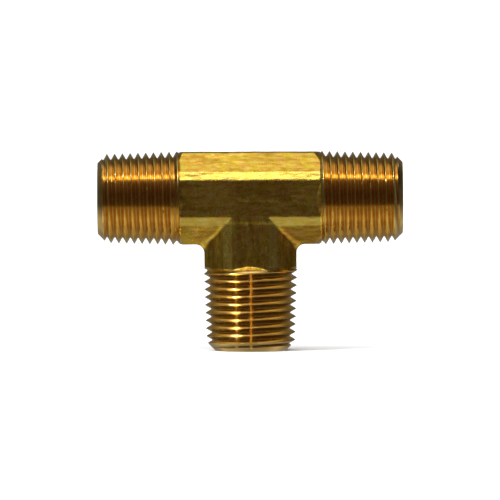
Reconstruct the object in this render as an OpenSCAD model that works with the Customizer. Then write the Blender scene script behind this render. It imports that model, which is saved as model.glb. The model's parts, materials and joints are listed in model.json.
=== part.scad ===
// Male pipe tee in forged brass, in millimetres with +Z up.
// The origin is the point where the bore axes cross. The run lies along X, the branch points
// down along -Z, and the fitting stands on the branch's end face.
// The forging's octagonal body is one solid and each turned and threaded end is another.
// They meet face to face at the shoulders.

/* [Arms] */
// Distance from the crossing of the bore axes to the end of each arm
centre_to_end = 35.65; // [34:0.05:40]
// Distance from the crossing to the shoulder where each thread starts
centre_to_shoulder = 16.65; // [16:0.05:18]
// Diameter of the bores
bore_d = 14.3; // [12:0.1:14.6]
// Width of the deburring chamfer at each mouth
mouth_chamfer = 0.4; // [0.2:0.1:0.6]

/* [Forged body] */
// Height of the run and width of the branch, between opposite flats
body_w = 21.46; // [21:0.02:22]
// Thickness of the body, between its front and back flats
body_depth = 19.8; // [19:0.1:20.6]
// Width of the front and back flats, between the sharp corners
front_flat_w = 11.06; // [10:0.02:12]
// Radius of the edges beside the front and back flats
front_edge_r = 2.74; // [1.5:0.02:3]
// Radius of the edges beside the side flats
side_edge_r = 1.0; // [0.5:0.1:1.5]
// Radius of the inner corners between the branch and the run
crotch_r = 2.1; // [1:0.1:2.4]

/* [Turned shoulders] */
// Radius at each shoulder of the round boss that the arm is turned from
boss_r = 10.85; // [10.7:0.05:10.9]
// Radius at which the turned cone meets each shoulder face
shoulder_r = 10.55; // [10.4:0.05:10.7]
// Rise of the turned cone for each millimetre inboard: right arm
right_cone_rise = 0.49; // [0.45:0.01:1.5]
// Rise of the turned cone for each millimetre inboard: left arm
left_cone_rise = 1.03; // [0.45:0.01:1.5]
// Rise of the turned cone for each millimetre inboard: branch
branch_cone_rise = 1.15; // [0.45:0.01:1.5]

/* [Taper thread] */
// Threads in one inch
threads_per_inch = 14; // [14:1:18]
// Diameter over the crests at the end of an arm
thread_end_d = 20.72; // [20.5:0.02:21]
// Length over which the thread's diameter grows by one unit
taper_length = 16; // [14:1:20]
// Width of the flat on each crest
crest_flat = 0.12; // [0.06:0.01:0.2]
// Width of the flat in each root
root_flat = 0.1; // [0.06:0.01:0.2]
// Length over which the groove reaches its full depth, from the shoulder
runout_length = 1.4; // [0.5:0.1:3]
// Share of the full depth that the groove has at the shoulder
runout_depth = 0.55; // [0.3:0.05:1]
// Diameter of the flat end face, where the 45 degree lead-in starts
end_face_d = 16.6; // [16:0.1:18]
// Distance of a crest from the shoulder on the underside of the right arm
right_crest_start = 1.03; // [0:0.01:1.8]
// Distance of a crest from the shoulder on top of the left arm
left_crest_start = 0.47; // [0:0.01:1.8]
// Distance of a crest from the shoulder on the right of the branch
branch_crest_start = 0.19; // [0:0.01:1.8]

/* [Hidden] */

$fn = 96;
forged_brass = "#a8892f";
cut_brass = "#b9803c";

// Turn that carries an arm's own +Z axis onto the arm
right_turn = [0, 90, 0];
left_turn = [0, -90, 0];
branch_turn = [180, 0, 0];

// Body section: half sizes, the corner where the chamfer meets the side flat, and arc steps
half_w = body_w / 2;
half_depth = body_depth / 2;
half_front = front_flat_w / 2;
half_side = half_depth - (half_w - half_front);
arc_steps = 5;
section_corners = [
    [half_front, -half_depth], [half_w, -half_side],
    [half_w, half_side], [half_front, half_depth],
    [-half_front, half_depth], [-half_w, half_side],
    [-half_w, -half_side], [-half_front, -half_depth]
];
section_radii = [front_edge_r, side_edge_r, side_edge_r, front_edge_r,
                 front_edge_r, side_edge_r, side_edge_r, front_edge_r];

// The branch bar starts inside the run bar, this far below its axis
branch_start = 1;
// How far a crotch web's root reaches into the bars, how far its skin bites into them, and
// how far its two end slices are buried
web_root = 0.8;
web_bite = 0.03;
web_end_bite = 0.3;
// Radius where a boss's 45 degree ramp starts, inside the front and back flats
boss_root_r = half_depth - 0.3;
// Radius that clears every corner of the body, and how far a cutter runs past what it cuts
clear_r = norm([half_w, half_side]) + 0.5;
overcut = 1;

// Thread form: 60 degree flanks on a cone
pitch = 25.4 / threads_per_inch;
thread_height = (pitch - crest_flat - root_flat) / 2 / tan(30);
turn_steps = 36;
spare_turns = 1.2;
key_offsets = [-crest_flat / 2, crest_flat / 2, (pitch - root_flat) / 2, (pitch + root_flat) / 2];
keys = len(key_offsets);

function unit(v) = v / norm(v);
function clamp01(x) = min(max(x, 0), 1);

// Arc of radius r that rounds corner b of the path a, b, c
function corner_arc(a, b, c, r) =
    let (u = unit(a - b),
         v = unit(c - b),
         half = acos(u * v) / 2,
         sweep = 180 - 2 * half,
         centre = b + unit(u + v) * r / sin(half),
         first = b + u * r / tan(half) - centre,
         last = b + v * r / tan(half) - centre)
    [for (i = [0:arc_steps])
        centre + (sin(sweep * (1 - i / arc_steps)) * first + sin(sweep * i / arc_steps) * last) / sin(sweep)];

function rounded(corners, radii) =
    let (n = len(corners))
    [for (i = [0:n - 1])
        each corner_arc(corners[(i + n - 1) % n], corners[i], corners[(i + 1) % n], radii[i])];

section = rounded(section_corners, section_radii);

// The points of the section on its +X side come first
side_points = len(section) / 2;

// Size of the crotch fillet at point p of the section: full beside the side flats, and it
// tightens with the direction of the surface towards nothing at the front and back flats
function slope_share(i) =
    let (d = section[i + 1] - section[i - 1])
    atan2(abs(d[1]), abs(d[0])) / 90;
function web_r(i) = crotch_r * slope_share(i);

// One slice of a crotch web: into the corner, then the fillet's arc
function web_slice(p, r, bite) =
    let (h = p[0] - bite)
    concat(
        [[h - web_root, p[1], -h + web_root]],
        [[h - web_root, p[1], -h - r]],
        [for (k = [0:arc_steps])
            let (a = 180 - 90 * k / arc_steps)
            [h + r + r * cos(a), p[1], -h - r + r * sin(a)]],
        [[h + r, p[1], -h + web_root]]);

// Joins rings of equal length into a closed skin, with a flat cap at each end
function skin_faces(rings, n) = concat(
    [[for (j = [n - 1:-1:0]) j]],
    [for (i = [0:rings - 2], j = [0:n - 1])
        [i * n + j, (i + 1) * n + (j + 1) % n, (i + 1) * n + j]],
    [for (i = [0:rings - 2], j = [0:n - 1])
        [i * n + j, i * n + (j + 1) % n, (i + 1) * n + (j + 1) % n]],
    [[for (j = [0:n - 1]) (rings - 1) * n + j]]);

module crotch_web() {
    last = side_points - 2;
    slices = [for (i = [1:last])
        web_slice(section[i], web_r(i), i == 1 || i == last ? web_end_bite : web_bite)];
    n = len(slices[0]);
    polyhedron(points = [for (s = slices) each s], faces = skin_faces(len(slices), n));
}

module run_bar() {
    rotate([90, 0, 90])
        translate([0, 0, -centre_to_shoulder])
            linear_extrude(2 * centre_to_shoulder)
                polygon([for (p = section) [p[1], p[0]]]);
}

module branch_bar() {
    translate([0, 0, -centre_to_shoulder])
        linear_extrude(centre_to_shoulder - branch_start)
            polygon(section);
}

// Boss of an arm along +Z, which shows as a low ramp on the front and back flats
module shoulder_boss() {
    ramp = boss_r - boss_root_r;
    translate([0, 0, centre_to_shoulder - ramp])
        cylinder(h = ramp, r1 = boss_root_r, r2 = boss_r);
}

// What the turning tool takes off the body beside a shoulder, on an arm along +Z
module shoulder_cut(rise) {
    inboard = (clear_r - shoulder_r) / rise;
    rotate_extrude()
        polygon([
            [shoulder_r - rise * overcut, centre_to_shoulder + overcut],
            [shoulder_r, centre_to_shoulder],
            [clear_r, centre_to_shoulder - inboard],
            [clear_r, centre_to_shoulder + overcut]
        ]);
}

module forged_body() {
    color(forged_brass)
        difference() {
            union() {
                run_bar();
                branch_bar();
                crotch_web();
                mirror([1, 0, 0]) crotch_web();
                rotate(right_turn) shoulder_boss();
                rotate(left_turn) shoulder_boss();
                rotate(branch_turn) shoulder_boss();
            }
            rotate(right_turn) shoulder_cut(right_cone_rise);
            rotate(left_turn) shoulder_cut(left_cone_rise);
            rotate(branch_turn) shoulder_cut(branch_cone_rise);
            rotate(right_turn)
                translate([0, 0, -centre_to_shoulder - overcut])
                    cylinder(h = 2 * (centre_to_shoulder + overcut), d = bore_d);
            rotate(branch_turn) cylinder(h = centre_to_shoulder + overcut, d = bore_d);
        }
}

// Thread surface at distance z from the crossing
function crest_r(z) = thread_end_d / 2 + (centre_to_end - z) / taper_length / 2;
function groove_depth(z) =
    thread_height * (runout_depth + (1 - runout_depth) * clamp01((z - centre_to_shoulder) / runout_length));
function key_r(k, z) = k < 2 ? crest_r(z) : crest_r(z) - groove_depth(z);

// Rod with a right-hand taper thread, longer than the arm at both ends. The thread is one
// ribbon of crest, flank, root and flank that winds up the cone.
module threaded_rod(crest_start) {
    first = centre_to_shoulder + crest_start - ceil(crest_start / pitch + spare_turns) * pitch;
    turns = ceil((centre_to_end - first) / pitch + spare_turns);
    last = turns * turn_steps;
    winding = [for (n = [0:last], k = [0:keys - 1])
        let (a = 360 * n / turn_steps,
             z = first + pitch * n / turn_steps + key_offsets[k],
             r = key_r(k, z))
        [r * cos(a), r * sin(a), z]];
    low = len(winding);
    high = low + 1;
    low_rim = concat(
        [for (n = [0:turn_steps]) keys * n],
        [for (k = [keys - 1:-1:1]) k]);
    high_rim = concat(
        [for (n = [last - turn_steps:last]) keys * n + keys - 1],
        [for (k = [keys - 2:-1:0]) keys * last + k]);
    polyhedron(
        points = concat(winding, [[0, 0, first - overcut]], [[0, 0, first + pitch * (turns + 1)]]),
        faces = concat(
            [for (n = [0:last - 1], k = [0:keys - 2])
                [keys * n + k, keys * n + k + 1, keys * (n + 1) + k + 1]],
            [for (n = [0:last - 1], k = [0:keys - 2])
                [keys * n + k, keys * (n + 1) + k + 1, keys * (n + 1) + k]],
            [for (n = [0:last - turn_steps - 1])
                [keys * n + keys - 1, keys * (n + turn_steps), keys * (n + turn_steps + 1)]],
            [for (n = [0:last - turn_steps - 1])
                [keys * n + keys - 1, keys * (n + turn_steps + 1), keys * (n + 1) + keys - 1]],
            [for (i = [0:len(low_rim) - 1])
                [low, low_rim[i], low_rim[(i + 1) % len(low_rim)]]],
            [for (i = [0:len(high_rim) - 1])
                [high, high_rim[(i + 1) % len(high_rim)], high_rim[i]]]));
}

// Bored tube with flat ends, a 45 degree lead-in and deburred mouth, which the thread is cut on
module arm_blank() {
    bore_r = bore_d / 2;
    end_face_r = end_face_d / 2;
    rotate_extrude()
        polygon([
            [bore_r, centre_to_shoulder],
            [clear_r, centre_to_shoulder],
            [clear_r, centre_to_end - (clear_r - end_face_r)],
            [end_face_r, centre_to_end],
            [bore_r + mouth_chamfer, centre_to_end],
            [bore_r, centre_to_end - mouth_chamfer]
        ]);
}

module threaded_arm(crest_start) {
    color(cut_brass)
        intersection() {
            arm_blank();
            threaded_rod(crest_start);
        }
}

module run_thread_right() {
    rotate(right_turn) threaded_arm(right_crest_start);
}

module run_thread_left() {
    rotate(left_turn) threaded_arm(left_crest_start);
}

module branch_thread() {
    rotate(branch_turn) threaded_arm(branch_crest_start);
}

forged_body();
run_thread_right();
run_thread_left();
branch_thread();
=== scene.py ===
import json
import math

import bmesh
import bpy
import numpy as np
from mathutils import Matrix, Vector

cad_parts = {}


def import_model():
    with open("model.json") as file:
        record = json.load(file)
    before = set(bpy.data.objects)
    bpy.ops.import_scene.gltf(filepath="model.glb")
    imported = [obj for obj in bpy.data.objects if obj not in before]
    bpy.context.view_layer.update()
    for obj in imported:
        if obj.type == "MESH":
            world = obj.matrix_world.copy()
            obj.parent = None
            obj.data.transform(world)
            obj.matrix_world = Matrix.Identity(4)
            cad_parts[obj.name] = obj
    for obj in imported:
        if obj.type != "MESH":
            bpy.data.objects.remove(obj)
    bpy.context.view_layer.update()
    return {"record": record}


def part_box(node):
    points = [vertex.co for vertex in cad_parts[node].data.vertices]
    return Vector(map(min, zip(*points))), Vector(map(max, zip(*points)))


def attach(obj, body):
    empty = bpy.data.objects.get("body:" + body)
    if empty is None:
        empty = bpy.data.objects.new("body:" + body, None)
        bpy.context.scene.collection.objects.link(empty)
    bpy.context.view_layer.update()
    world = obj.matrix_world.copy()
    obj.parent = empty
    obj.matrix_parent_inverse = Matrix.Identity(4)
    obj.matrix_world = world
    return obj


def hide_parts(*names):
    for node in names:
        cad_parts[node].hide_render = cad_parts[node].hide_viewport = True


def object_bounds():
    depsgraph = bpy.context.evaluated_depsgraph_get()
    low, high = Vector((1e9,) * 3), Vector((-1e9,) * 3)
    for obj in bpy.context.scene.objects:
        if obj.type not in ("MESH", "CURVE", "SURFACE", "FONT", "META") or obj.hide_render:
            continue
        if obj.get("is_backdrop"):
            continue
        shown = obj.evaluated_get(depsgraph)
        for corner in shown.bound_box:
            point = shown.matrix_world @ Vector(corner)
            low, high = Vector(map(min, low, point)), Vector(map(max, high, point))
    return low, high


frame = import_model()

import openvdb
from mathutils import Matrix, Vector

MM = 0.001

# ---------------------------------------------------------------- sizes, from the frame
_, body_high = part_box("forged_body")
mounts = {m["name"]: m for m in frame["record"]["mounts"]}
SHOULDER = body_high.x / MM
ARM_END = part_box("run_thread_right")[1].x / MM
HALF_W = mounts["top_flat"]["pos_m"][2] / MM
HALF_DEPTH = mounts["back_wrench_flat"]["pos_m"][1] / MM
BORE_R = mounts["run_bore"]["dims"]["r_mm"]
FLOOR_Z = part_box("branch_thread")[0].z

# Body section: half the front flat, the width and the slope in degrees of the facet
# beside it, and the radii of the edges. A 45 degree chamfer joins the facet to the side flat.
HALF_FRONT = 4.27
FACET = 2.02
FACET_ANGLE = 31
FRONT_EDGE_R = 1.2
SIDE_EDGE_R = 0.75
CROTCH_R = 2.1
# Distance over which the round bosses blend into the body
BOSS_BLEND = 0.2

# The branch's skin takes over from the run's over this distance past the mitre lines, and
# between these two distances below the run's axis
MITRE_BLEND = 0.8
BRANCH_STARTS = HALF_FRONT - 0.9
BRANCH_FULL = HALF_FRONT + 0.1

# As-forged skin: height, size, stretch along the flow of the metal and seed of its lumps
LUMPS = [
    (0.05, 2.6, 2.5, 11),
    (0.034, 1.15, 2.6, 12),
    (0.03, 1.5, 7.0, 17),
    (0.016, 0.6, 1.8, 13),
]
PIT_SIZE = 0.9
PIT_THRESHOLD = 0.62
PIT_DEPTH = 0.16
FLASH_HEIGHT = 0.07
SUNK_DEPTH = 0.12

# Taper pipe thread, 14 to the inch, 60 degree flanks
PITCH = 25.4 / 14
THREAD_END_R = 10.36
TAPER = 1 / 16
CREST_FLAT = 0.12
ROOT_FLAT = 0.10
THREAD_HEIGHT = (PITCH - CREST_FLAT - ROOT_FLAT) / 2 * math.sqrt(3)
RUNOUT_LENGTH = 1.4
RUNOUT_DEPTH = 0.55
END_FACE_R = 8.3
MOUTH = 0.4
SHOULDER_R = 10.55
BOSS_R = 10.8
# Rounding of the crests, of the roots and of the corner where the lead-in starts
CREST_ROUND = 0.07
ROOT_ROUND = 0.1
LEAD_IN_ROUND = 0.05
# Bevel between the lead-in and the end face
END_BEVEL = 0.05
# Teeth wound beyond each end of an arm, to be clamped back to it
SPARE_TEETH = 1.6
# Dents bite where their noise passes the threshold, and all crests are slightly uneven
DENT_SIZE = 1.1
DENT_THRESHOLD = 0.6
DENT_DEPTH = 0.3
UNEVEN_SIZE = 0.9
UNEVEN_DEPTH = 0.01

# Turns that carry an arm's own +Z axis onto the arm
TURNS = {
    "right": Matrix.Rotation(math.radians(90), 4, "Y"),
    "left": Matrix.Rotation(math.radians(-90), 4, "Y"),
    "branch": Matrix.Rotation(math.radians(180), 4, "X"),
}
# Arm: CAD node, distance of a crest from the shoulder where the winding starts, the rise of
# the turned cone at its shoulder for each millimetre inboard, and the seed of its dents
ARMS = {
    "right": ("run_thread_right", 1.03, 0.49, 21),
    "left": ("run_thread_left", 0.47, 1.03, 34),
    "branch": ("branch_thread", 0.19, 1.15, 47),
}
ARM_AXIS = {"right": "X", "left": "X", "branch": "Z"}

# Points round an arm, spacing of the body's grid, and cells along a side of the noise's table
COLUMNS = 256
VOXEL = 0.19
TABLE = 32


# ---------------------------------------------------------------- small maths
def smoothstep(low, high, x):
    """0 below low, 1 above high and smooth between."""
    t = np.clip((x - low) / (high - low), 0, 1)
    return t * t * (3 - 2 * t)


def soft_min(a, b, k):
    """The lesser of two fields, rounded where they come within k of each other."""
    return np.minimum(a, b) - np.maximum(k - np.abs(a - b), 0) ** 2 / (4 * k)


def soft_max(a, b, k):
    return -soft_min(-a, -b, k)


def noise(points, size, seed):
    """Smooth random field from -1 to 1 whose lumps are about size across."""
    rng = np.random.default_rng(seed)
    table = rng.uniform(-1, 1, (TABLE, TABLE, TABLE)).astype(np.float32)
    q = np.asarray(points, np.float64) / size + rng.uniform(0, TABLE, 3)
    cell = np.floor(q).astype(np.int64)
    t = q - cell
    t = t * t * (3 - 2 * t)
    total = 0
    for dx in (0, 1):
        for dy in (0, 1):
            for dz in (0, 1):
                x, y, z = (cell + [dx, dy, dz]).T % TABLE
                wx = t[:, 0] if dx else 1 - t[:, 0]
                wy = t[:, 1] if dy else 1 - t[:, 1]
                wz = t[:, 2] if dz else 1 - t[:, 2]
                total = total + table[x, y, z] * wx * wy * wz
    return total


# ---------------------------------------------------------------- mesh helpers
def mesh_object(name, points, faces, material):
    """Makes an object from points in millimetres."""
    mesh = bpy.data.meshes.new(name)
    mesh.from_pydata((np.asarray(points) * MM).tolist(), [], [tuple(f) for f in faces])
    mesh.materials.append(material)
    mesh.validate()
    obj = bpy.data.objects.new(name, mesh)
    bpy.context.scene.collection.objects.link(obj)
    return obj


def shade(mesh, sharp_deg):
    """Smooth shading, except across edges over sharp_deg."""
    mesh.polygons.foreach_set("use_smooth", np.ones(len(mesh.polygons), bool))
    mesh.set_sharp_from_angle(angle=math.radians(sharp_deg))
    mesh.update()


def revolve(profile, steps):
    """Closed solid from a profile of (r, z) points turned about Z, as points and faces."""
    n = len(profile)
    angles = 2 * math.pi * np.arange(steps) / steps
    r = np.array([p[0] for p in profile])
    z = np.array([p[1] for p in profile])
    points = np.stack([
        r[None, :] * np.cos(angles)[:, None],
        r[None, :] * np.sin(angles)[:, None],
        np.broadcast_to(z, (steps, n)),
    ], axis=-1).reshape(-1, 3)
    faces = []
    for i in range(steps):
        a, b = i * n, (i + 1) % steps * n
        for j in range(n):
            k = (j + 1) % n
            if r[j] == 0 and r[k] == 0:
                continue
            if r[j] == 0:
                faces.append((j, a + k, b + k))
            elif r[k] == 0:
                faces.append((a + j, k, b + j))
            else:
                faces.append((a + j, a + k, b + k, b + j))
    return points, faces


def cut(target, points, faces, turn, material):
    """Takes a closed solid, in an arm's own frame, out of target."""
    tool = mesh_object("cutting_tool", points, faces, material)
    tool.data.transform(turn)
    fix_normals(tool.data)
    change = target.modifiers.new("cut", "BOOLEAN")
    change.operation = "DIFFERENCE"
    change.solver = "MANIFOLD"
    change.object = tool
    bpy.context.view_layer.update()
    evaluated = target.evaluated_get(bpy.context.evaluated_depsgraph_get())
    result = bpy.data.meshes.new_from_object(evaluated)
    target.modifiers.clear()
    target.data = result
    bpy.data.objects.remove(tool)


def fix_normals(mesh):
    """Joins doubled points and turns every face outwards."""
    work = bmesh.new()
    work.from_mesh(mesh)
    bmesh.ops.remove_doubles(work, verts=work.verts, dist=1e-8)
    bmesh.ops.recalc_face_normals(work, faces=work.faces)
    work.to_mesh(mesh)
    work.free()


# ---------------------------------------------------------------- node helpers
class Nodes:
    """Short ways to add and join the nodes of one tree."""

    def __init__(self, tree):
        self.tree = tree
        self.tree.nodes.clear()

    def add(self, kind):
        return self.tree.nodes.new(kind)

    def put(self, socket, value):
        """Joins a socket to another node's output, or sets its number or colour."""
        if isinstance(value, (int, float)):
            socket.default_value = value
        elif isinstance(value, tuple):
            socket.default_value = (*value, 1) if len(value) < len(socket.default_value) else value
        else:
            self.tree.links.new(value, socket)

    def math(self, operation, a, b=0.0):
        node = self.add("ShaderNodeMath")
        node.operation = operation
        self.put(node.inputs[0], a)
        self.put(node.inputs[1], b)
        return node.outputs[0]

    def scaled(self, vector, scale):
        """A vector with each part multiplied by that of scale."""
        node = self.add("ShaderNodeVectorMath")
        node.operation = "MULTIPLY"
        self.put(node.inputs[0], vector)
        self.put(node.inputs[1], scale)
        return node.outputs[0]

    def split(self, vector):
        node = self.add("ShaderNodeSeparateXYZ")
        self.put(node.inputs[0], vector)
        return node.outputs

    def step(self, value, low, high):
        """0 below low, 1 above high and smooth between."""
        node = self.add("ShaderNodeMapRange")
        node.interpolation_type = "SMOOTHSTEP"
        self.put(node.inputs["Value"], value)
        self.put(node.inputs["From Min"], low)
        self.put(node.inputs["From Max"], high)
        return node.outputs[0]

    def fraction(self, value, low, high):
        """0 below low, 1 above high and straight between."""
        node = self.add("ShaderNodeMapRange")
        self.put(node.inputs["Value"], value)
        self.put(node.inputs["From Min"], low)
        self.put(node.inputs["From Max"], high)
        return node.outputs[0]

    def ramp(self, value, stops):
        """Colour or grey read off at a value, from stops of place and colour."""
        node = self.add("ShaderNodeValToRGB")
        elements = node.color_ramp.elements
        while len(elements) < len(stops):
            elements.new(0.5)
        for element, (at, color) in zip(elements, stops):
            element.position = at
            element.color = (*color, 1) if isinstance(color, tuple) else (color, color, color, 1)
        self.put(node.inputs["Fac"], value)
        return node.outputs["Color"]

    def mix(self, factor, a, b, blend="MIX"):
        node = self.add("ShaderNodeMix")
        node.data_type = "RGBA"
        node.blend_type = blend
        for name, value in (("Factor", factor), ("A", a), ("B", b)):
            self.put(next(s for s in node.inputs if s.name == name and s.enabled), value)
        return next(s for s in node.outputs if s.enabled)


class Metal(Nodes):
    """A metal whose patterns are laid out in millimetres in the object's own frame."""

    def __init__(self, name, base_color, roughness):
        self.material = bpy.data.materials.new(name)
        self.material.use_nodes = True
        super().__init__(self.material.node_tree)
        self.shader = self.add("ShaderNodeBsdfPrincipled")
        self.put(self.shader.inputs["Metallic"], 1.0)
        self.put(self.shader.inputs["Base Color"], base_color)
        self.put(self.shader.inputs["Roughness"], roughness)
        self.put(self.add("ShaderNodeOutputMaterial").inputs["Surface"], self.shader.outputs["BSDF"])
        per_mm = (1 / MM, 1 / MM, 1 / MM)
        self.millimetres = self.scaled(self.add("ShaderNodeTexCoord").outputs["Object"], per_mm)

    def grain(self, per_mm, detail, roughness=0.55, vector=None):
        """Noise with per_mm lumps to the millimetre."""
        node = self.add("ShaderNodeTexNoise")
        self.put(node.inputs["Vector"], vector or self.millimetres)
        self.put(node.inputs["Scale"], per_mm)
        self.put(node.inputs["Detail"], detail)
        self.put(node.inputs["Roughness"], roughness)
        return node.outputs["Fac"]

    def bump(self, height, depth_mm, before=None):
        node = self.add("ShaderNodeBump")
        self.put(node.inputs["Strength"], 1.0)
        self.put(node.inputs["Distance"], depth_mm * MM)
        self.put(node.inputs["Height"], height)
        if before is not None:
            self.put(node.inputs["Normal"], before)
        return node.outputs["Normal"]

    def below_the_mitre(self):
        """1 on the branch's side of the mitre lines, 0 on the run's."""
        x, _, z = self.split(self.millimetres)
        down = self.math("MULTIPLY", z, -1.0)
        below = self.step(self.math("SUBTRACT", down, self.math("ABSOLUTE", x)), 0.0, MITRE_BLEND)
        return self.math("MULTIPLY", below, self.step(down, BRANCH_STARTS, BRANCH_FULL))

    def on_the_facets(self, distance):
        """1 where a distance from an arm's axis lies on the facets beside its flats."""
        started = self.step(distance, HALF_FRONT - 0.1, HALF_FRONT + 0.2)
        ended = self.step(distance, HALF_FRONT + FACET - 0.15, HALF_FRONT + FACET + 0.15)
        return self.math("MULTIPLY", started, self.math("SUBTRACT", 1.0, ended))

    def flow(self, per_mm, detail, roughness, stretch):
        """Noise drawn out along the run, and along the branch below the mitre lines."""
        on_run = self.scaled(self.millimetres, (1 / stretch, 1.0, 1.0))
        on_branch = self.scaled(self.millimetres, (1.0, 1.0, 1 / stretch))
        return self.mix(self.below_the_mitre(), self.grain(per_mm, detail, roughness, on_run),
                        self.grain(per_mm, detail, roughness, on_branch))

    def arm_frame(self, axis):
        """Distance along an arm's axis, the two distances across it, and the radius."""
        x, y, z = self.split(self.millimetres)
        along, across = (x, z) if axis == "X" else (z, x)
        squares = self.math("ADD", self.math("MULTIPLY", across, across), self.math("MULTIPLY", y, y))
        return along, across, y, self.math("SQRT", squares)

    def round_the(self, axis, along_per_mm, radius_per_mm):
        """Coordinates that make noise run round an arm as tool marks do."""
        along, across, y, radius = self.arm_frame(axis)
        join = self.add("ShaderNodeCombineXYZ")
        stepped = self.math("ADD", self.math("MULTIPLY", along, along_per_mm),
                            self.math("MULTIPLY", radius, radius_per_mm))
        self.put(join.inputs[0], stepped)
        self.put(join.inputs[1], self.math("DIVIDE", across, radius))
        self.put(join.inputs[2], self.math("DIVIDE", y, radius))
        return join.outputs[0]


# ---------------------------------------------------------------- materials
# What the roots of the threads multiply the cut brass by
ROOT_TINT = (0.93, 0.87, 0.95)


def forged_brass():
    """As-forged skin: lumpy, streaked with the flow of the metal, stained brown and olive, browner and
    darker low on the right of the run, and with a painted highlight on the facets beside the flats.
    """
    m = Metal("forged_brass", (0.86, 0.56, 0.075), 0.3)
    streaks = m.flow(1.2, 2, 0.45, 2.0)
    patches = m.grain(0.4, 3, 0.55)
    speckle = m.grain(2.4, 2, 0.5)
    skin = m.ramp(streaks, [
        (0.34, (0.83, 0.49, 0.045)), (0.5, (0.93, 0.6, 0.06)), (0.66, (0.99, 0.71, 0.11))])
    tint = m.ramp(patches, [
        (0.34, (0.99, 0.85, 1.4)), (0.5, (1.0, 1.0, 1.1)), (0.64, (0.95, 1.0, 0.9))])
    drawn = m.ramp(m.flow(0.85, 2, 0.5, 6.0), [
        (0.38, (0.76, 0.69, 0.58)), (0.5, (0.92, 0.9, 0.86)), (0.6, (1.0, 1.0, 1.0))])
    stain = m.ramp(speckle, [(0.28, (0.6, 0.5, 0.45)), (0.42, (1.0, 1.0, 1.0))])
    # Browner and darker low on the right-hand side of the run
    x, _, z = m.split(m.millimetres)
    lower_right_mask = m.math("MULTIPLY", m.step(x, 2.0, 9.0), m.step(m.math("MULTIPLY", z, -1.0), 5.5, 8.0))
    skin = m.mix(1.0, skin, tint, "MULTIPLY")
    skin = m.mix(1.0, skin, drawn, "MULTIPLY")
    browner_darker = m.mix(1.0, skin, (0.86, 0.72, 0.74), "MULTIPLY")
    skin = m.mix(m.math("MULTIPLY", lower_right_mask, 0.8), skin, browner_darker)
    skin = m.mix(0.3, skin, stain, "MULTIPLY")
    # Painted highlight: the facets along the front and back flats get a brighter, paler colour, and the
    # rest a slightly darker one
    run_facets = m.on_the_facets(m.math("ABSOLUTE", z))
    branch_facets = m.on_the_facets(m.math("ABSOLUTE", x))
    facet_highlight_mask = m.mix(m.below_the_mitre(), run_facets, branch_facets)
    dimmed_off_facets = m.mix(1.0, skin, (0.93, 0.93, 0.96), "MULTIPLY")
    painted_facet_highlight = m.mix(1.0, skin, (0.5, 0.26, 0.055), "SCREEN")
    m.put(m.shader.inputs["Base Color"], m.mix(facet_highlight_mask, dimmed_off_facets, painted_facet_highlight))
    m.put(m.shader.inputs["Roughness"], m.ramp(speckle, [(0.3, 0.36), (0.5, 0.3), (0.72, 0.25)]))
    normal = m.bump(m.flow(1.1, 3, 0.5, 2.6), 0.09)
    m.put(m.shader.inputs["Normal"], m.bump(m.grain(3.0, 1, 0.5), 0.004, normal))
    return m.material


def cut_brass(name, axis, roughness):
    """Turned and threaded brass: bright, with fine marks round the arm and redder roots."""
    m = Metal(name, (0.88, 0.62, 0.22), roughness)
    marks = m.grain(1.0, 3, 0.6, m.round_the(axis, 9.0, 9.0))
    tarnish = m.ramp(m.grain(0.5, 5, 0.6), [
        (0.3, (0.82, 0.54, 0.15)), (0.5, (0.88, 0.62, 0.19)), (0.72, (0.93, 0.69, 0.24))])
    along, _, _, radius = m.arm_frame(axis)
    narrowing = m.math("MULTIPLY", m.math("ABSOLUTE", along), -TAPER / 2)
    crest = m.math("ADD", narrowing, THREAD_END_R + ARM_END * TAPER / 2)
    depth = m.math("DIVIDE", m.math("SUBTRACT", crest, radius), 2 * THREAD_HEIGHT)
    roots = m.ramp(depth, [(0.15, 1.0), (0.42, ROOT_TINT), (0.52, ROOT_TINT), (0.62, 1.0)])
    m.put(m.shader.inputs["Base Color"], m.mix(1.0, tarnish, roots, "MULTIPLY"))
    m.put(m.shader.inputs["Roughness"], m.ramp(marks, [(0.3, roughness + 0.05), (0.7, roughness - 0.03)]))
    m.put(m.shader.inputs["Normal"], m.bump(marks, 0.0025))
    return m.material


# ---------------------------------------------------------------- threaded arms
def tooth_keys():
    """Axial places on one tooth, from one root to just before the next, closest at the corners."""
    crest = CREST_FLAT / 2
    root = PITCH / 2 - ROOT_FLAT / 2
    flank = [crest + (root - crest) * share for share in (0.33, 0.55, 0.76)]
    half = [0, crest * 0.6, crest + 0.015, crest + 0.055, crest + 0.12]
    half += flank + [root - 0.1, root - 0.03, root + 0.02]
    return np.array([-PITCH / 2] + [-u for u in half[:0:-1]] + half)


def thread_radius(u, z, wear):
    """Radius of the thread, u from a crest's centre and z from the crossing, worn at its crests."""
    crest_r = THREAD_END_R + (ARM_END - z) * TAPER / 2
    past_runout = np.clip((z - SHOULDER) / RUNOUT_LENGTH, 0, 1)
    depth = THREAD_HEIGHT * (RUNOUT_DEPTH + (1 - RUNOUT_DEPTH) * past_runout)
    rise = (PITCH / 2 - ROOT_FLAT / 2 - np.abs(u)) / ((PITCH - CREST_FLAT - ROOT_FLAT) / 2)
    height = soft_max(soft_min(rise * depth, depth, CREST_ROUND), 0, ROOT_ROUND)
    lead_in = END_FACE_R + ARM_END - z
    return soft_min(crest_r - depth + height - wear * (height / depth) ** 3, lead_in, LEAD_IN_ROUND)


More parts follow.
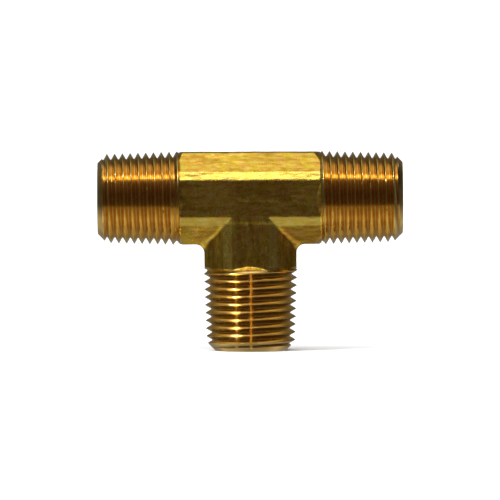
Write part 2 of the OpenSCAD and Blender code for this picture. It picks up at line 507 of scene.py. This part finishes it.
def threaded_arm(name, turn, crest_start, seed, material):
    """One arm beyond its shoulder, as a closed mesh: thread, end face, mouth and bore."""
    keys = tooth_keys()
    per_tooth = len(keys)
    first = SHOULDER + crest_start - math.ceil(crest_start / PITCH + SPARE_TEETH) * PITCH
    teeth = math.ceil((ARM_END - first) / PITCH + SPARE_TEETH)
    angle = 2 * math.pi * np.arange(COLUMNS) / COLUMNS
    u = np.tile(keys, teeth)
    tooth = np.arange(teeth).repeat(per_tooth)[None, :]
    centre = first + PITCH * (tooth + angle[:, None] / (2 * math.pi))
    z = centre + u[None, :]
    low, high = SHOULDER, ARM_END - END_BEVEL
    inside_low = np.argmax(z > low, axis=1) - 1
    inside_high = np.argmax(z > high, axis=1)
    row = np.clip(np.arange(z.shape[1])[None, :], inside_low[:, None], inside_high[:, None])
    kept_z = np.clip(z, low, high)
    kept_u = kept_z - centre
    # At a clamped end the offset from the crest can pass the root's centre, so fold it back
    kept_u = np.abs((kept_u + PITCH / 2) % PITCH - PITCH / 2)
    cos, sin = np.cos(angle)[:, None], np.sin(angle)[:, None]
    x_there = np.broadcast_to(THREAD_END_R * cos, z.shape)
    y_there = np.broadcast_to(THREAD_END_R * sin, z.shape)
    places = np.stack([x_there.ravel(), y_there.ravel(), kept_z.ravel()], 1)
    dents = np.maximum(noise(places, DENT_SIZE, seed) - DENT_THRESHOLD, 0) * DENT_DEPTH
    wear = dents + UNEVEN_DEPTH * (noise(places, UNEVEN_SIZE, seed + 1) + 1)
    r = thread_radius(kept_u, kept_z, wear.reshape(z.shape))
    thread = np.stack([r * cos, r * sin, kept_z], axis=-1)
    rows = z.shape[1]
    # Rings after the thread: end face, deburred mouth, bore and back to the shoulder
    rings = [
        (END_FACE_R - END_BEVEL * 0.6, ARM_END),
        (BORE_R + MOUTH, ARM_END),
        (BORE_R + MOUTH * 0.1, ARM_END - MOUTH * 0.9),
        (BORE_R, ARM_END - MOUTH * 1.2),
    ]
    rings += [(BORE_R, ring_z) for ring_z in np.linspace(ARM_END - 1.5, SHOULDER, 12)]
    ring_points = np.stack([
        np.stack([ring_r * cos[:, 0], ring_r * sin[:, 0], 0 * angle + ring_z], -1)
        for ring_r, ring_z in rings], 1)
    points = np.concatenate([thread, ring_points], axis=1)
    width = points.shape[1]
    index = np.arange(COLUMNS)[:, None] * width
    thread_index = index + row
    ring_index = index + rows + np.arange(len(rings))[None, :]
    following = np.roll(thread_index, -1, axis=0)
    # One turn on, a column meets the next tooth of the first column
    shifted = np.concatenate([thread_index[0, per_tooth:], np.full(per_tooth, thread_index[0, -1])])
    following[-1] = shifted
    strips = [(thread_index[:, :-1], thread_index[:, 1:], following[:, 1:], following[:, :-1])]
    end_now = np.concatenate([thread_index[:, -1:], ring_index, thread_index[:, :1]], axis=1)
    end_next = np.roll(end_now, -1, axis=0)
    strips.append((end_now[:, :-1], end_now[:, 1:], end_next[:, 1:], end_next[:, :-1]))
    quads = np.concatenate([np.stack([a.ravel() for a in s], 1) for s in strips])
    faces = drop_doubles(quads)
    used, faces = compact(faces)
    obj = mesh_object(name, points.reshape(-1, 3)[used], faces, material)
    obj.data.transform(turn)
    fix_normals(obj.data)
    shade(obj.data, 40)
    return obj


def drop_doubles(quads):
    """Quads with a repeated corner become triangles, and those with two repeats go."""
    same = quads == np.roll(quads, -1, axis=1)
    count = same.sum(1)
    faces = [tuple(q) for q in quads[count == 0].tolist()]
    for q, s in zip(quads[count == 1].tolist(), same[count == 1].tolist()):
        faces.append(tuple(v for v, repeated in zip(q, s) if not repeated))
    return [f for f in faces if len(set(f)) == len(f)]


def compact(faces):
    """The points that the faces use, and the faces numbered over those points alone."""
    used = np.unique(np.concatenate([np.array(f) for f in faces]))
    place = {int(v): i for i, v in enumerate(used)}
    return used, [tuple(place[v] for v in f) for f in faces]


# ---------------------------------------------------------------- forged body
def rounded_outline(corners, radii, steps=8):
    """Closed outline of a polygon with an arc at each corner."""
    points = []
    corners = [np.array(c, float) for c in corners]
    for i, b in enumerate(corners):
        a, c, r = corners[i - 1], corners[(i + 1) % len(corners)], radii[i]
        to_a, to_c = (a - b) / np.linalg.norm(a - b), (c - b) / np.linalg.norm(c - b)
        half = math.acos(to_a @ to_c) / 2
        middle = to_a + to_c
        centre = b + middle / np.linalg.norm(middle) * r / math.sin(half)
        start, stop = b + to_a * r / math.tan(half) - centre, b + to_c * r / math.tan(half) - centre
        sweep = math.pi - 2 * half
        for k in range(steps + 1):
            t = k / steps
            spoke = math.sin(sweep * (1 - t)) * start + math.sin(sweep * t) * stop
            points.append(centre + spoke / math.sin(sweep))
    return np.array(points)


def outline_distance(outline, across, depth):
    """Signed distance to a closed convex outline on a grid, below zero inside."""
    gu, gv = np.meshgrid(across, depth, indexing="ij")
    best = np.full(gu.shape, 1e9)
    inside = np.full(gu.shape, True)
    for a, b in zip(outline, np.roll(outline, -1, axis=0)):
        d = b - a
        length = math.hypot(*d)
        if length < 1e-9:
            continue
        pu, pv = gu - a[0], gv - a[1]
        t = np.clip((pu * d[0] + pv * d[1]) / length ** 2, 0, 1)
        best = np.minimum(best, np.hypot(pu - t * d[0], pv - t * d[1]))
        inside &= pu * d[1] - pv * d[0] <= 0
    return np.where(inside, -best, best)


def forged_skin(p):
    """Height of the as-forged skin over the die's shape, at points in millimetres."""
    x, y, z = p.T
    # The metal flowed along the run and down the branch, so its lumps are drawn out that way
    on_branch = smoothstep(0, MITRE_BLEND, -z - np.abs(x)) * smoothstep(BRANCH_STARTS, BRANCH_FULL, -z)
    lumps = 0
    for height, size, stretch, seed in LUMPS:
        run = noise(p * [1 / stretch, 1, 1], size, seed)
        branch = noise(p * [1, 1, 1 / stretch], size, seed)
        lumps = lumps + height * (run + (branch - run) * on_branch)
    pits = np.maximum(noise(p, PIT_SIZE, 14) - PIT_THRESHOLD, 0) * PIT_DEPTH
    # Trimmed flash along the parting plane
    edge = np.abs(y) + 0.12 * noise(p, 1.2, 15)
    ragged = 1 + 0.35 * noise(p * [1, 0.2, 1], 0.5, 16)
    flash = FLASH_HEIGHT * (1 - smoothstep(0.55, 0.8, edge)) * ragged
    # The die sinks the branch's front and back flats a little below the run's
    sunk = SUNK_DEPTH * smoothstep(HALF_FRONT + 0.8, HALF_FRONT + 1.9, -z)
    sunk = sunk * smoothstep(8.4, 9.6, np.abs(y))
    return lumps - pits + flash - sunk * smoothstep(HALF_W, HALF_FRONT + 1, np.abs(x))


def boss(along, radius):
    """Distance to the 45 degree ramp of an arm's round boss, below zero inside."""
    return (radius - BOSS_R + SHOULDER - along) / math.sqrt(2)


def forged_blank():
    """The forging before it is turned and drilled, as a mesh of the distance field."""
    far = HALF_FRONT + FACET
    lower = HALF_DEPTH - FACET * math.tan(math.radians(FACET_ANGLE))
    side = lower - (HALF_W - far)
    quarter = [(HALF_FRONT, HALF_DEPTH), (far, lower), (HALF_W, side)]
    right = [(w, -d) for w, d in quarter] + quarter[::-1]
    radii = [FRONT_EDGE_R, FRONT_EDGE_R, SIDE_EDGE_R, SIDE_EDGE_R, FRONT_EDGE_R, FRONT_EDGE_R] * 2
    outline = rounded_outline(right + [(-w, -d) for w, d in right], radii)
    margin = 4 * VOXEL
    # The blank runs this far past the shoulders, and the turning cuts take it back to them
    over = 1.0
    x = np.arange(-SHOULDER - over - margin, SHOULDER + over + margin, VOXEL)
    y = np.arange(-HALF_DEPTH - margin, HALF_DEPTH + margin, VOXEL)
    z = np.arange(-SHOULDER - over - margin, HALF_W + margin, VOXEL)
    run = outline_distance(outline, z, y).T[None, :, :]
    branch = outline_distance(outline, x, y)[:, :, None]
    ends = (np.abs(x) - SHOULDER - over)[:, None, None]
    run = np.maximum(run, ends)
    branch = np.maximum(branch, np.maximum(z, -z - SHOULDER - over)[None, None, :])
    # The crotches' fillets narrow towards the front and back and fade out at the flats
    web = CROTCH_R * (1 - 0.68 * smoothstep(3.4, 6.0, np.abs(y)))
    web = np.maximum(web * (1 - smoothstep(8.2, 9.85, np.abs(y))), 0.02)[None, :, None]
    corner = np.hypot(np.maximum(web - run, 0), np.maximum(web - branch, 0))
    field = np.maximum(web, np.minimum(run, branch)) - corner
    along_x, along_z = np.abs(x)[:, None, None], -z[None, None, :]
    radius_x = np.hypot(y[:, None], z[None, :])[None, :, :]
    radius_z = np.hypot(x[:, None], y[None, :])[:, :, None]
    field = soft_min(field, np.maximum(boss(along_x, radius_x), ends), BOSS_BLEND)
    field = soft_min(field, boss(along_z, radius_z), BOSS_BLEND).astype(np.float32)
    shell = np.argwhere(np.abs(field) < 3 * VOXEL)
    places = np.stack([x[shell[:, 0]], y[shell[:, 1]], z[shell[:, 2]]], 1)
    field[tuple(shell.T)] -= forged_skin(places).astype(np.float32)
    grid = openvdb.FloatGrid(3 * VOXEL)
    grid.copyFromArray(np.clip(field, -3 * VOXEL, 3 * VOXEL))
    points, _, quads = grid.convertToPolygons(isovalue=0.0, adaptivity=0.0)
    return points * VOXEL + [x[0], y[0], z[0]], quads


def forged_body(skin, cut_metal):
    """The blank with its shoulders turned and its bores drilled."""
    points, quads = forged_blank()
    body = mesh_object("forged_body_detail", points, quads.tolist(), skin)
    fix_normals(body.data)
    # The cuts reach past the body's corners and past its ends
    clear_r = HALF_W + 2.5
    clear_z = SHOULDER + 3
    for arm, (_, _, rise, _) in ARMS.items():
        inboard = SHOULDER - (clear_r - SHOULDER_R) / rise
        profile = [(0, SHOULDER), (SHOULDER_R, SHOULDER), (clear_r, inboard)]
        profile += [(clear_r, clear_z), (0, clear_z)]
        cut(body, *revolve(profile, COLUMNS), TURNS[arm], cut_metal[ARM_AXIS[arm]])
    reach = SHOULDER + 2
    run_bore = revolve([(0, -reach), (BORE_R, -reach), (BORE_R, reach), (0, reach)], COLUMNS)
    cut(body, *run_bore, TURNS["right"], cut_metal["X"])
    branch_bore = revolve([(0, 0), (BORE_R, 0), (BORE_R, reach), (0, reach)], COLUMNS)
    cut(body, *branch_bore, TURNS["branch"], cut_metal["Z"])
    shade(body.data, 30)
    return body


# ---------------------------------------------------------------- studio
# Brightness of the surround that the metal mirrors, at angles above the horizon, on four sides.
# It peaks in a bright band high in front.
PEAK = 4.8
SURROUND = {
    "front": [
        (-90, 0.3), (-73, 0.33), (-66, 0.44), (-57, 0.44), (-50, 0.35), (-26, 0.33),
        (-19, 0.06), (14, 0.05), (28, 0.075), (51, 0.14), (58, 0.6), (62.5, PEAK),
        (66, PEAK), (70, 1.0), (77, 0.8), (85, 0.95), (90, 1.05)],
    "back": [
        (-90, 0.3), (-75, 0.22), (-40, 0.22), (-12, 0.25), (3, 0.25), (10, 0.13),
        (48, 0.1), (60, 0.25), (70, 0.6), (82, 0.95), (90, 1.05)],
    "left": [
        (-90, 0.3), (-60, 0.55), (-45, 0.9), (-32, 0.55), (-20, 0.22), (-10, 0.06),
        (14, 0.055), (35, 0.15), (50, 0.5), (65, 0.9), (90, 1.05)],
    "right": [
        (-90, 0.3), (-60, 0.5), (-45, 0.9), (-32, 0.5), (-20, 0.2), (-10, 0.07),
        (14, 0.05), (30, 0.02), (63, 0.03), (75, 0.25), (90, 1.05)],
}
# The darker part of the surround in front, between these angles, has a wine-red cast
DUSK = (-18, 50)
DUSK_BLEND = 0.04
DUSK_COLOR = (1.0, 0.8, 1.3)
# Brightness of the white that only the camera sees
BACKDROP = 1.1
# Direction, distance and size, shared by the key softbox and the one for the branch's crests
MAIN_SOFTBOX = ((-0.57, -0.43, 0.70), 0.7, (0.15, 0.2))


def studio_floor():
    mesh = bpy.data.meshes.new("floor")
    half = 6.0
    signs = ((-1, -1), (1, -1), (1, 1), (-1, 1))
    corners = [(x * half, y * half, FLOOR_Z) for x, y in signs]
    mesh.from_pydata(corners, [], [(0, 1, 2, 3)])
    floor = bpy.data.objects.new("floor", mesh)
    bpy.context.scene.collection.objects.link(floor)
    paper = bpy.data.materials.new("pale_floor")
    paper.use_nodes = True
    shader = paper.node_tree.nodes["Principled BSDF"]
    shader.inputs["Base Color"].default_value = (0.93, 0.93, 0.93, 1)
    shader.inputs["Roughness"].default_value = 0.9
    shader.inputs["Specular IOR Level"].default_value = 0.0
    mesh.materials.append(paper)
    floor.visible_glossy = False
    floor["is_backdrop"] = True


def lamp(kind, name, direction, distance, power):
    """Light at a distance in a direction from the fitting's middle, hidden from the camera."""
    light = bpy.data.lights.new(name, kind)
    light.energy = power
    obj = bpy.data.objects.new(name, light)
    toward = Vector(direction).normalized()
    low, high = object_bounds()
    obj.location = (low + high) / 2 + toward * distance
    obj.rotation_euler = toward.to_track_quat("Z", "Y").to_euler()
    obj.visible_camera = False
    bpy.context.scene.collection.objects.link(obj)
    return obj


def softbox(name, direction, distance, size, power, lit=None):
    """Rectangular light, which lights only the pieces in lit when they are given."""
    obj = lamp("AREA", name, direction, distance, power)
    obj.data.shape = "RECTANGLE"
    obj.data.size, obj.data.size_y = size
    if lit:
        obj.light_linking.receiver_collection = bpy.data.collections.new(name + "_lights")
        for piece in lit:
            obj.light_linking.receiver_collection.objects.link(piece)
    return obj


def share_of_height(angle):
    """Place of an angle above the horizon on a scale from straight down, 0, to straight up, 1."""
    return (math.sin(math.radians(angle)) + 1) / 2


def world():
    """White studio for the camera, and the graded surround for everything else."""
    studio = bpy.data.worlds.new("studio")
    bpy.context.scene.world = studio
    studio.use_nodes = True
    n = Nodes(studio.node_tree)
    direction = n.add("ShaderNodeTexCoord").outputs["Generated"]
    height = n.fraction(n.split(direction)["Z"], -1, 1)
    flat = n.add("ShaderNodeVectorMath")
    flat.operation = "NORMALIZE"
    n.put(flat.inputs[0], n.scaled(direction, (1.0, 1.0, 0.0)))
    x, y, _ = n.split(flat.outputs[0])
    side = {
        name: n.ramp(height, [(share_of_height(angle), value / PEAK) for angle, value in stops])
        for name, stops in SURROUND.items()
    }
    low, high = [share_of_height(angle) for angle in DUSK]
    dusk_starts = n.step(height, low, low + DUSK_BLEND)
    dusk_ends = n.step(height, high - DUSK_BLEND, high)
    dusk = n.math("SUBTRACT", dusk_starts, dusk_ends)
    front = n.mix(dusk, side["front"], n.mix(1.0, side["front"], DUSK_COLOR, "MULTIPLY"))
    along = n.mix(n.math("GREATER_THAN", y, 0.0), front, side["back"])
    across = n.mix(n.math("GREATER_THAN", x, 0.0), side["left"], side["right"])
    mirrored = n.add("ShaderNodeBackground")
    n.put(mirrored.inputs["Color"], n.mix(n.math("MULTIPLY", x, x), along, across))
    n.put(mirrored.inputs["Strength"], PEAK)
    white = n.add("ShaderNodeBackground")
    n.put(white.inputs["Color"], (1.0, 1.0, 1.0))
    n.put(white.inputs["Strength"], BACKDROP)
    choice = n.add("ShaderNodeMixShader")
    n.put(choice.inputs["Fac"], n.add("ShaderNodeLightPath").outputs["Is Camera Ray"])
    n.put(choice.inputs[1], mirrored.outputs[0])
    n.put(choice.inputs[2], white.outputs[0])
    n.put(n.add("ShaderNodeOutputWorld").inputs["Surface"], choice.outputs[0])


def camera():
    """Long lens at the photo's angle, framed on the fitting as in the photo."""
    data = bpy.data.cameras.new("camera")
    distance = 2.0
    view_width = 0.1169
    elevation = math.radians(1.9)
    data.sensor_width = 36
    data.lens = data.sensor_width * distance / view_width
    data.clip_start = 0.01
    data.clip_end = 50
    obj = bpy.data.objects.new("camera", data)
    aim = Vector((0.0002, 0, -0.0122))
    obj.location = aim + distance * Vector((0, -math.cos(elevation), math.sin(elevation)))
    obj.rotation_euler = (math.radians(90) - elevation, math.radians(0.25), 0)
    bpy.context.scene.collection.objects.link(obj)
    bpy.context.scene.camera = obj


# ---------------------------------------------------------------- build
skin = forged_brass()
cut_metal = {
    "X": cut_brass("cut_brass_run", "X", 0.13),
    "Z": cut_brass("cut_brass_branch", "Z", 0.13),
}

body = forged_body(skin, cut_metal)
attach(body, "root")
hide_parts("forged_body")

threads = {}
for arm, (node, crest_start, _, seed) in ARMS.items():
    metal = cut_metal[ARM_AXIS[arm]]
    piece = threaded_arm(node + "_detail", TURNS[arm], crest_start, seed, metal)
    threads[arm] = piece
    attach(piece, "root")
    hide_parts(node)

studio_floor()
world()
key = softbox("key_softbox", *MAIN_SOFTBOX, 2.8)
crests = softbox("crest_softbox", *MAIN_SOFTBOX, 11.0, [threads["branch"]])
# Few reflections of these two, or the grooves throw specks of them onto the flats
for light, bounces in ((key.data, 0), (crests.data, 1)):
    light.cycles.max_bounces = bounces
    light.cycles.use_multiple_importance_sampling = False
softbox("fill_strip", (-0.67, -0.74, 0.06), 0.9, (0.05, 0.35), 0.09, [threads["branch"]])
softbox("window_slit", (0.014, -1.0, -0.06), 1.2, (0.022, 0.5), 0.25, [threads["branch"]])
floor_wash = lamp("SUN", "floor_wash", (-0.2, -0.3, 1), 1.0, 3.7)
floor_wash.data.angle = math.radians(120)
floor_wash.visible_glossy = False
camera()
bpy.context.scene.view_settings.view_transform = "Standard"
